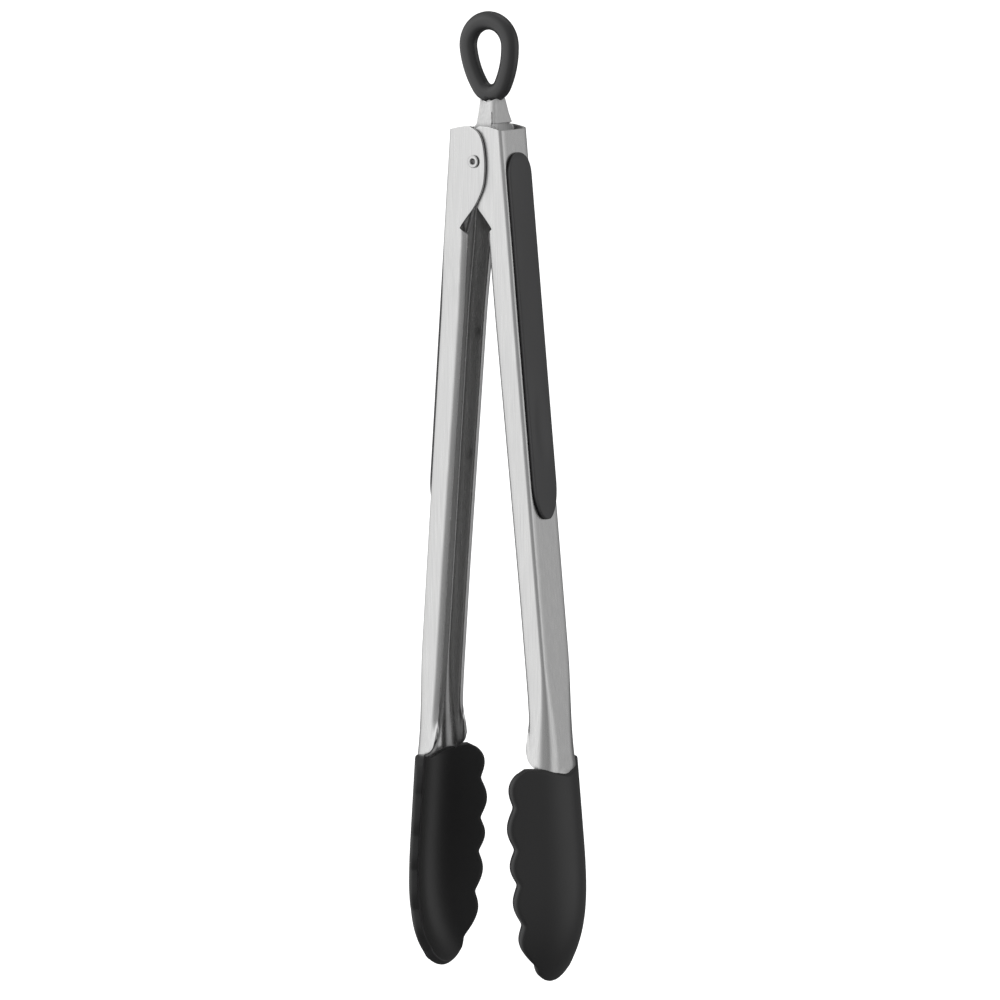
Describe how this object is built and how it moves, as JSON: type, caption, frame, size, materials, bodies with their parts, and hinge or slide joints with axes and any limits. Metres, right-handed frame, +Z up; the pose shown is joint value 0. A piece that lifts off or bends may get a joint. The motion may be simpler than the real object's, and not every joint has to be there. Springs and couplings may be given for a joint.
{
  "type": "spring loaded kitchen tongs",
  "caption": "Locking kitchen tongs with two stamped steel channel arms on one sprung pivot, soft grips, scalloped silicone heads and a pull ring that locks them shut.",
  "frame": {"origin": "top of the pull ring's hole, where the tongs hang on a hook, on the pivot's centre plane", "axes": "+Z up along the tongs towards the ring, +X the way the inner arm opens, Y along the pivot pin"},
  "size_m": [0.0696, 0.0474, 0.3489],
  "materials": {
    "arm_steel": "satin brushed lengthwise",
    "tab_steel": "satin",
    "rivet_steel": "turned",
    "spring_steel": "drawn wire",
    "head_silicone": "smooth satin black",
    "grip_elastomer": "matt charcoal",
    "grip_nylon": "moulded",
    "ring_rubber": "satin black"
  },
  "bodies": {
    "pull_tab": {"lock_tab": "tab_steel", "ring_core": "tab_steel", "pull_ring": "ring_rubber"},
    "pivot": {"pivot_rivet": "rivet_steel", "torsion_spring": "spring_steel"},
    "outer_arm": {"outer_arm": "arm_steel", "outer_head": "head_silicone", "outer_grip": "grip_elastomer", "outer_grip_base": "grip_nylon"},
    "inner_arm": {"inner_arm": "arm_steel", "inner_head": "head_silicone", "inner_grip": "grip_elastomer", "inner_grip_base": "grip_nylon"}
  },
  "joints": [
    {"name": "lock_slide", "type": "slide", "parent": "pull_tab", "child": "pivot", "axis": [0, 0, -1], "range_m": [0, 0.0068]},
    {"name": "inner_arm_close", "type": "hinge", "parent": "pivot", "child": "inner_arm", "pos_m": [0, 0, -0.0462], "axis": [0, 1, 0], "range_deg": [0, 3.9], "stiffness_Nm_per_rad": 0.6, "springref_deg": -20.05, "deforming": ["torsion_spring"]},
    {"name": "outer_arm_close", "type": "hinge", "parent": "pivot", "child": "outer_arm", "pos_m": [0, 0, -0.0462], "axis": [0, 1, 0], "range_deg": [-3.9, 0], "stiffness_Nm_per_rad": 0.6, "springref_deg": 20.05}
  ],
  "couplings": [
    {"joint": "outer_arm_close", "follows": "inner_arm_close", "ratio": -1}
  ]
}
